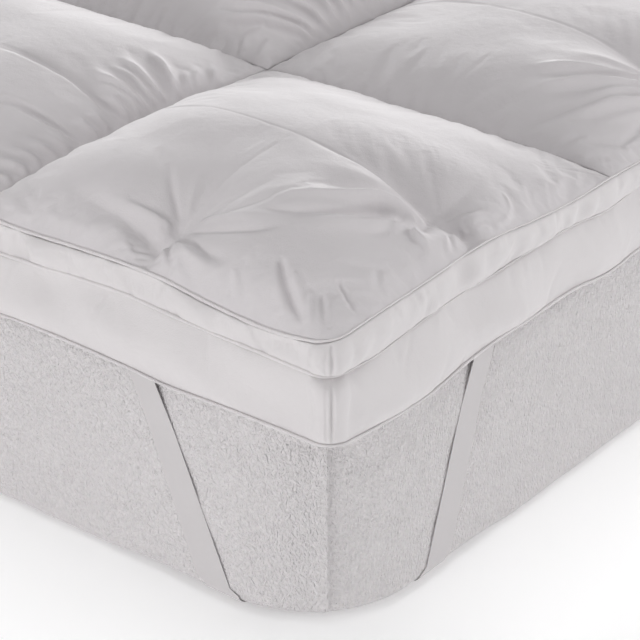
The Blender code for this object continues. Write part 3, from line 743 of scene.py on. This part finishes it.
def seam_puckers(run, down, puckers):
    """Short folds that leave a seam down or up the wall."""
    rng = np.random.default_rng(puckers.seed)
    total = np.zeros(np.broadcast(run, down).shape)
    at = 0.0
    whole = run.max()
    while at < whole:
        width = puckers.spacing * rng.uniform(*PUCKER_WIDTHS)
        reach = puckers.length * rng.uniform(*PUCKER_LENGTHS)
        slant = rng.uniform(*PUCKER_SLANTS)
        rise = puckers.height * rng.uniform(*PUCKER_RISES)
        near = np.abs(run - at) < PUCKER_REACH[0] * width + PUCKER_REACH[1]
        q = (run - at - slant * down) / width
        total += np.where(near, rise * np.exp(-q * q - (down / reach) ** 2), 0.0)
        at += puckers.spacing * rng.uniform(*PUCKER_STEPS)
    return total


def corner_push(rows):
    """How far the walls' tighter corners stand out of the seams' rounder ones."""
    return (CORNER_ROUND - WALL_CORNER) * (np.abs(rows[:, 2]) + np.abs(rows[:, 3]) - 1)


def corner_seam(rows, width, depth, aside):
    """A narrow line down each corner, to one side of its middle."""
    along = np.degrees(np.arctan2(np.abs(rows[:, 3]), np.abs(rows[:, 2]))) - 45
    from_middle = np.radians(along) * CORNER_ROUND - aside
    on_arc = np.minimum(np.abs(rows[:, 2]), np.abs(rows[:, 3])) > TINY
    return -depth * np.exp(-((from_middle / width) ** 2)) * on_arc


def wall_rings(rows, wall, upper_seam, lower_seam):
    """Rings of points down a wall, from one seam to the next."""
    above, below = seam_levels(rows, upper_seam), seam_levels(rows, lower_seam)
    side = side_share(rows)
    q = np.linspace(0, 1, wall.steps + 1)
    q = (q - RING_CROWDING * np.sin(2 * math.pi * q))[:, None]
    height = (above - mixed(wall.under, side)) * (1 - q) + (below + wall.over) * q
    fullest = 0.5 ** (1 / wall.lean)
    power = np.where(q < fullest, mixed(wall.power_above, side), wall.power_below)
    out = mixed(wall.swell, side) * np.sin(math.pi * q**wall.lean) ** power
    out += mixed(wall.start_out, side) * (1 - q) + mixed(wall.end_out, side) * q
    run = np.broadcast_to(rows[:, 4], height.shape)
    folds = np.broadcast_to(corner_push(rows), height.shape).copy()
    for width, depth, aside in CORNER_SEAMS:
        folds += corner_seam(rows, width, depth, aside)
    for kind in wall.ripples:
        along = kind.run_share * run + kind.slant * height
        folds += kind.height * soft_noise(along, kind.height_share * height, kind.size, kind.seed)
    tall = above - below
    folds += seam_puckers(run, q * tall, wall.top_puckers)
    folds += seam_puckers(run, (1 - q) * tall, wall.low_puckers)
    out += np.sin(math.pi * q) ** SEAM_FADE * folds
    return [offset_ring(rows, *ring) for ring in zip(out, height)]


def build_upper_wall(rows, look):
    """The upper wall, softly puckered along both of its seams."""
    rings = [offset_ring(rows, -INNER, TOP_SEAM - INNER_DROP)]
    rings += wall_rings(rows, UPPER_WALL, TOP, MIDDLE)
    rings.append(offset_ring(rows, -INNER, MIDDLE_SEAM + TIER_GAP))
    made = slab("upper_wall", rings, look)
    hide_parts("top_chamber")


def build_lower_wall(rows, look):
    """The lower wall, in long soft waves that run aslant."""
    rings = [offset_ring(rows, -INNER, MIDDLE_SEAM - TIER_GAP)]
    rings += wall_rings(rows, LOWER_WALL, MIDDLE, BOTTOM)
    rings.append(offset_ring(rows, -REST_INSET, MATTRESS_HEIGHT + GAP))
    made = slab("lower_wall", rings, look)
    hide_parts("base_chamber")


def build_cord(cord, rows, look):
    """A covered cord sewn into one seam."""
    level, side = seam_levels(rows, cord.seam), side_share(rows)
    lumps = CORD_LUMPS * soft_noise(rows[:, 4], 0.0, CORD_LUMP_SIZE, CORD_SEED + cord.seam)
    radius, out = mixed(cord.radius, side) * (1 + lumps), mixed(cord.out, side)
    rings, faces = [], []
    count = len(rows)
    for k in range(CORD_SIDES):
        turn = -2 * math.pi * k / CORD_SIDES
        rings.append(offset_ring(rows, out + radius * math.cos(turn), level + radius * math.sin(turn)))
        first = np.arange(count) + k * count
        second = np.arange(count) + (k + 1) % CORD_SIDES * count
        faces += ring_faces(first, second)
    made = new_piece(f"{cord.name}_cover", np.concatenate(rings), faces, look)
    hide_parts(cord.name)


# ------------------------ mattress and straps

LIFT, LIFT_FULL, LIFT_NONE = 0.006, 0.260, 0.340  # the straps hold each corner's underside this high
BOTTOM_STEPS, SIDE_STEPS, TOP_STEPS = 6, 34, 4
EDGE_FADE = 0.010  # its pile and its corner seams end over this distance round its edges
PILE, PILE_SIZE, PILE_SEED = 0.0006, 0.035, 95  # the cover is this uneven, and stands in by as much
# the ridge of the seam down each corner: how far it is from the corner's middle, and its width to either side
RIDGE, RIDGE_ASIDE, RIDGE_WIDTHS = 0.0050, 0.002, (0.0014, 0.0090)

# A strap's two edges along a wall, from the corner, at the seam and at the floor
STRAP_END = {"seam": (0.280, 0.243), "floor": (0.183, 0.134)}
STRAP_SIDE = {"seam": (0.283, 0.246), "floor": (0.207, 0.161)}
STRAP_WIDTH, STRAP_THICKNESS = 0.040, 0.0010
STRAP_STANDOFF = 0.060  # a strap meets the mattress's side this far below the seam
STRAP_UNDER, STRAP_IN = 0.0012, 0.0004  # where it is sewn on: below the seam and in from it
STRAP_LINES = (0.0, 0.012, 0.05, 0.5, 0.95, 0.988, 1.0)  # shares across a strap, close at its edges
HANG_STEPS, DOWN_STEPS, UNDER_STEPS = 12, 24, 6


def corner_lift(rows):
    """How high the straps hold the underside at each row of the outline."""
    from_x = WIDTH / 2 - MATTRESS_INSET - np.abs(rows[:, 0])
    from_y = LENGTH / 2 - MATTRESS_INSET - np.abs(rows[:, 1])
    far = np.maximum(from_x, from_y)
    return LIFT * smooth_step((LIFT_NONE - far) / (LIFT_NONE - LIFT_FULL))


def quarter_turn(steps):
    """Angles of a quarter circle."""
    return [math.pi / 2 * step / steps for step in range(steps + 1)]


def mattress_levels():
    """The mattress's section, from its underside up: how far in, the height, and the corner lift's share."""
    r = MATTRESS_BOTTOM_EDGE
    levels = []
    for turn in quarter_turn(BOTTOM_STEPS):
        levels.append((r * (1 - math.sin(turn)), r * (1 - math.cos(turn)), 1.0))
    low, high = MATTRESS_BOTTOM_EDGE, MATTRESS_HEIGHT - MATTRESS_TOP_EDGE
    for share in np.linspace(0, 1, SIDE_STEPS + 1)[1:-1]:
        levels.append((0.0, low + (high - low) * share, 1 - share))
    r = MATTRESS_TOP_EDGE
    for turn in quarter_turn(TOP_STEPS):
        levels.append((r * (1 - math.cos(turn)), MATTRESS_HEIGHT - r * (1 - math.sin(turn)), 0.0))
    return levels


def build_mattress(look):
    """The mattress in terry, with soft edges."""
    half_x, half_y = WIDTH / 2 - MATTRESS_INSET, LENGTH / 2 - MATTRESS_INSET
    rows = outline(half_x, half_y, MATTRESS_CORNER, fine=0.006, coarse=0.014, fine_reach=0.9, arc_steps=110)
    turn = np.arctan2(np.abs(rows[:, 3]), np.abs(rows[:, 2])) - math.pi / 4
    beside = turn * MATTRESS_CORNER + RIDGE_ASIDE
    seam = RIDGE * np.exp(-((beside / np.where(beside > 0, RIDGE_WIDTHS[1], RIDGE_WIDTHS[0])) ** 2))
    lift = corner_lift(rows)
    rings = []
    for inset, height, lifted in mattress_levels()[::-1]:
        pile = PILE * soft_noise(rows[:, 4], height, PILE_SIZE, PILE_SEED)
        out = (pile + seam) * (1 - min(inset / EDGE_FADE, 1))
        rings.append(offset_ring(rows, out - inset - PILE, height + lift * lifted))
    made = slab("mattress_cover", rings, look)
    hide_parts("mattress")


def side_profile(seam_level, inner):
    """A strap's run down a side: (out from the side, height, share of the way down)."""
    out = GAP + (0 if inner else STRAP_THICKNESS)
    sewn = MATTRESS_INSET - STRAP_IN - (STRAP_THICKNESS if inner else 0)
    start, end = seam_level - STRAP_STANDOFF, MATTRESS_BOTTOM_EDGE + LIFT
    places = []
    for share in np.linspace(0, 1, HANG_STEPS + 1):
        height = seam_level - STRAP_UNDER - (STRAP_STANDOFF - STRAP_UNDER) * share
        places.append((sewn + (out - sewn) * share, height))
    for share in np.linspace(0, 1, DOWN_STEPS + 1)[1:]:
        places.append((out, start + (end - start) * share))
    profile = [(away, height, (seam_level - height) / seam_level) for away, height in places]
    reach = MATTRESS_BOTTOM_EDGE + out
    for turn in quarter_turn(UNDER_STEPS)[1:]:
        profile.append((reach * math.cos(turn) - MATTRESS_BOTTOM_EDGE, end - reach * math.sin(turn), 1.0))
    return profile


def strap_line(across, side_x, side_y, inner):
    """One lengthwise line of a strap, across it from 0 to 1, from one wall's seam to the other's."""
    runs = []
    waves_start_here = side_x * side_y < 0
    for kind, size, ends in (("end", WIDTH, STRAP_END), ("side", LENGTH, STRAP_SIDE)):
        at_seam, at_floor = mixed(ends["seam"], across), mixed(ends["floor"], across)
        distance = at_seam if waves_start_here else size - at_seam
        lift = float(seam_wave(kind, np.array([distance]), BOTTOM)[0])
        run = []
        for out, height, share in side_profile(BOTTOM_SEAM + lift, inner):
            reach = [mixed((at_seam, at_floor), share), MATTRESS_INSET - out]
            in_x, in_y = reach if kind == "end" else reach[::-1]
            run.append((side_x * (WIDTH / 2 - in_x), side_y * (LENGTH / 2 - in_y), height))
        runs.append(run)
    return np.array(runs[0] + runs[1][::-1])


def build_strap(name, side_x, side_y, look):
    """A flat elastic strap under one corner, its outer lines and then its inner ones."""
    outer = [strap_line(share, side_x, side_y, False) for share in STRAP_LINES]
    inner = [strap_line(share, side_x, side_y, True) for share in STRAP_LINES]
    runs = outer + inner[::-1]
    count, around = len(runs[0]), len(runs)
    faces = []
    for k in range(around):
        first, second = k * count, (k + 1) % around * count
        for j in range(count - 1):
            faces.append([first + j, first + j + 1, second + j + 1, second + j])
    faces.append([k * count for k in range(around)])
    faces.append([k * count + count - 1 for k in range(around)][::-1])
    if side_x * side_y > 0:
        faces = [face[::-1] for face in faces]
    made = new_piece(f"{name}_band", np.concatenate(runs), faces, look)
    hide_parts(name)


# ------------------------ materials

# Each cloth's colours in its light and dark spots
# The top's cotton is the walls' cotton made about 4 per cent darker: painted shade over the top panel.
SHADED_TOP_COTTON = ((0.668, 0.637, 0.650), (0.653, 0.623, 0.636))
WALL_COTTON = ((0.694, 0.665, 0.672), (0.678, 0.650, 0.657))
CORD_COTTON = ((0.700, 0.670, 0.678), (0.685, 0.655, 0.663))
ELASTIC = ((0.590, 0.565, 0.571), (0.575, 0.550, 0.557))
TERRY = ((0.935, 0.895, 0.906), (0.700, 0.671, 0.679))
FLOOR = ((0.95, 0.95, 0.95), (0.93, 0.93, 0.935))


def principled(name, roughness, sheen):
    """A new material, its node tree, its shader and the place on the object."""
    made = bpy.data.materials.new(name)
    made.use_nodes = True
    tree = made.node_tree
    shader = tree.nodes["Principled BSDF"]
    shader.inputs["Roughness"].default_value = roughness
    shader.inputs["Specular IOR Level"].default_value = 0.3
    shader.inputs["Sheen Weight"].default_value = sheen
    shader.inputs["Sheen Roughness"].default_value = 0.5
    place = tree.nodes.new("ShaderNodeTexCoord").outputs["Object"]
    return made, tree, shader, place


def noise(tree, vector, scale, detail=2.0, stretch=None):
    """A noise texture in metres, its size about one over the scale."""
    if stretch:
        mapping = tree.nodes.new("ShaderNodeMapping")
        mapping.inputs["Scale"].default_value = stretch
        tree.links.new(vector, mapping.inputs["Vector"])
        vector = mapping.outputs["Vector"]
    made = tree.nodes.new("ShaderNodeTexNoise")
    made.inputs["Scale"].default_value = scale
    made.inputs["Detail"].default_value = detail
    tree.links.new(vector, made.inputs["Vector"])
    return made.outputs["Fac"]


def tint(tree, shader, factor, light, dark):
    """The base colour, from dark at a factor of 0 to light at 1."""
    mix = tree.nodes.new("ShaderNodeMix")
    mix.data_type = "RGBA"
    mix.inputs["A"].default_value = (*dark, 1)
    mix.inputs["B"].default_value = (*light, 1)
    tree.links.new(factor, mix.inputs["Factor"])
    tree.links.new(mix.outputs["Result"], shader.inputs["Base Color"])


def bump(tree, height, distance, strength, under=None):
    """Fine relief, over another one if given."""
    made = tree.nodes.new("ShaderNodeBump")
    made.inputs["Distance"].default_value = distance
    made.inputs["Strength"].default_value = strength
    tree.links.new(height, made.inputs["Height"])
    if under:
        tree.links.new(under, made.inputs["Normal"])
    return made.outputs["Normal"]


def cotton(name, light, dark):
    """Close-woven cotton, finely crinkled."""
    made, tree, shader, place = principled(name, roughness=0.65, sheen=0.18)
    tint(tree, shader, noise(tree, place, scale=30), light, dark)
    crinkles = noise(tree, place, scale=120, detail=5)
    crinkled = bump(tree, crinkles, distance=0.0012, strength=0.4)
    weave = noise(tree, place, scale=800)
    woven = bump(tree, weave, distance=0.0006, strength=0.5, under=crinkled)
    tree.links.new(woven, shader.inputs["Normal"])
    return made


def terry(name, light, dark):
    """Short looped pile in faint upright rows."""
    made, tree, shader, place = principled(name, roughness=0.95, sheen=0.3)
    spots = noise(tree, place, scale=330, detail=3, stretch=(1, 1, 0.6))
    tint(tree, shader, spots, light, dark)
    tufts = noise(tree, place, scale=150, detail=3, stretch=(1, 1, 0.5))
    tufted = bump(tree, tufts, distance=0.004, strength=0.7)
    loops = noise(tree, place, scale=430, detail=3, stretch=(1, 1, 0.6))
    looped = bump(tree, loops, distance=0.006, strength=1.0, under=tufted)
    tree.links.new(looped, shader.inputs["Normal"])
    return made


def elastic(name, light, dark):
    """Flat woven elastic."""
    made, tree, shader, place = principled(name, roughness=0.6, sheen=0.1)
    tint(tree, shader, noise(tree, place, scale=200), light, dark)
    woven = bump(tree, noise(tree, place, scale=500), distance=0.0004, strength=0.4)
    tree.links.new(woven, shader.inputs["Normal"])
    return made


def floor_paper(name, light, dark):
    """Pale paper that glows a little."""
    made, tree, shader, place = principled(name, roughness=0.9, sheen=0.0)
    tint(tree, shader, noise(tree, place, scale=2), light, dark)
    shader.inputs["Emission Color"].default_value = (1, 1, 1, 1)
    shader.inputs["Emission Strength"].default_value = 0.25
    return made


# ------------------------ stage, lights and camera

FLOOR_HALF = 30.0

# Soft lights round the photo's corner: compass turn from the head end and lift in degrees, size, watts
Light = namedtuple("Light", "name turn lift size power")
LIGHT_AIM, LIGHT_DISTANCE = (0.45, -0.60, 0.35), 10.0
LIGHTS = (
    Light("softbox_behind", -39, 11, (10.0, 3.2), 798),
    Light("softbox_behind_right", 40, 8, (8.0, 2.4), 355),
    Light("softbox_right", 66, 6, (8.0, 2.0), 177),
    Light("softbox_foot", 180, 4, (8.0, 1.4), 347),
    Light("softbox_foot_left", 215, 8, (8.0, 2.4), 134),
    Light("softbox_camera", 141, 50, (6.0, 4.0), 140),
    Light("softbox_above", 0, 89, (8.0, 8.0), 533),
)

# The photo's camera: its place in metres, its turns in degrees, its lens and sensor in millimetres
EYE = (2.0389, -2.6155, 1.4906)
TURN, DOWN, ROLL = 38.9109, 27.7742, -0.2939
LENS, SENSOR = 135.547, 36.0
CLIP_START, CLIP_END = 0.05, 100


def build_floor(look):
    mesh = bpy.data.meshes.new("floor")
    corners = [(x * FLOOR_HALF, y * FLOOR_HALF, 0) for x, y in ((-1, -1), (1, -1), (1, 1), (-1, 1))]
    mesh.from_pydata(corners, [], [(0, 1, 2, 3)])
    mesh.materials.append(look)
    made = bpy.data.objects.new("floor", mesh)
    bpy.context.scene.collection.objects.link(made)


def build_world():
    world = bpy.data.worlds.new("white_room")
    bpy.context.scene.world = world
    world.use_nodes = True
    shade = world.node_tree.nodes["Background"]
    shade.inputs["Color"].default_value = (1, 1, 1, 1)
    shade.inputs["Strength"].default_value = 0.01


def build_light(light):
    """One soft light, turned to the photo's corner."""
    turn, lift = math.radians(light.turn), math.radians(light.lift)
    away = Vector((math.sin(turn) * math.cos(lift), math.cos(turn) * math.cos(lift), math.sin(lift)))
    data = bpy.data.lights.new(light.name, "AREA")
    data.shape = "RECTANGLE"
    data.size, data.size_y = light.size
    data.energy = light.power
    made = bpy.data.objects.new(light.name, data)
    made.rotation_euler = (-away).to_track_quat("-Z", "Y").to_euler()
    made.location = Vector(LIGHT_AIM) + away * LIGHT_DISTANCE
    made.visible_camera = False
    bpy.context.scene.collection.objects.link(made)


def build_camera():
    turn, down, roll = math.radians(TURN), math.radians(DOWN), math.radians(ROLL)
    ahead = np.array((-math.sin(turn) * math.cos(down), math.cos(turn) * math.cos(down), -math.sin(down)))
    level = np.array((math.cos(turn), math.sin(turn), 0.0))
    upright = np.cross(level, ahead)
    right = math.cos(roll) * level + math.sin(roll) * upright
    up = math.cos(roll) * upright - math.sin(roll) * level
    data = bpy.data.cameras.new("photo_camera")
    data.lens, data.sensor_width = LENS, SENSOR
    data.clip_start, data.clip_end = CLIP_START, CLIP_END
    made = bpy.data.objects.new("photo_camera", data)
    pose = Matrix([list(right), list(up), list(-ahead)]).transposed().to_4x4()
    pose.translation = EYE
    made.matrix_world = pose
    bpy.context.scene.collection.objects.link(made)
    bpy.context.scene.camera = made


def main():
    """The stage first, then the topper from its pockets down, and the mattress with its straps."""
    build_floor(floor_paper("floor_paper", *FLOOR))
    build_world()
    for light in LIGHTS:
        build_light(light)
    build_camera()
    bpy.context.scene.view_settings.view_transform = "Standard"
    # The top panel's cotton is darker than the walls': painted shade.
    build_pockets(cotton("cotton_top", *SHADED_TOP_COTTON))
    half_x, half_y = WIDTH / 2, LENGTH / 2
    seams = outline(half_x, half_y, CORNER_ROUND, fine=0.003, coarse=0.010, fine_reach=0.9, arc_steps=40)
    wall_cotton = cotton("cotton_wall", *WALL_COTTON)
    build_upper_wall(seams, wall_cotton)
    build_lower_wall(seams, wall_cotton)
    cording = cotton("cotton_cord", *CORD_COTTON)
    for cord in CORDS:
        build_cord(cord, seams, cording)
    build_mattress(terry("terry", *TERRY))
    band = elastic("elastic", *ELASTIC)
    for end, side_y in (("foot", -1), ("head", 1)):
        for side, side_x in (("left", -1), ("right", 1)):
            build_strap(f"strap_{end}_{side}", side_x, side_y, band)


main()
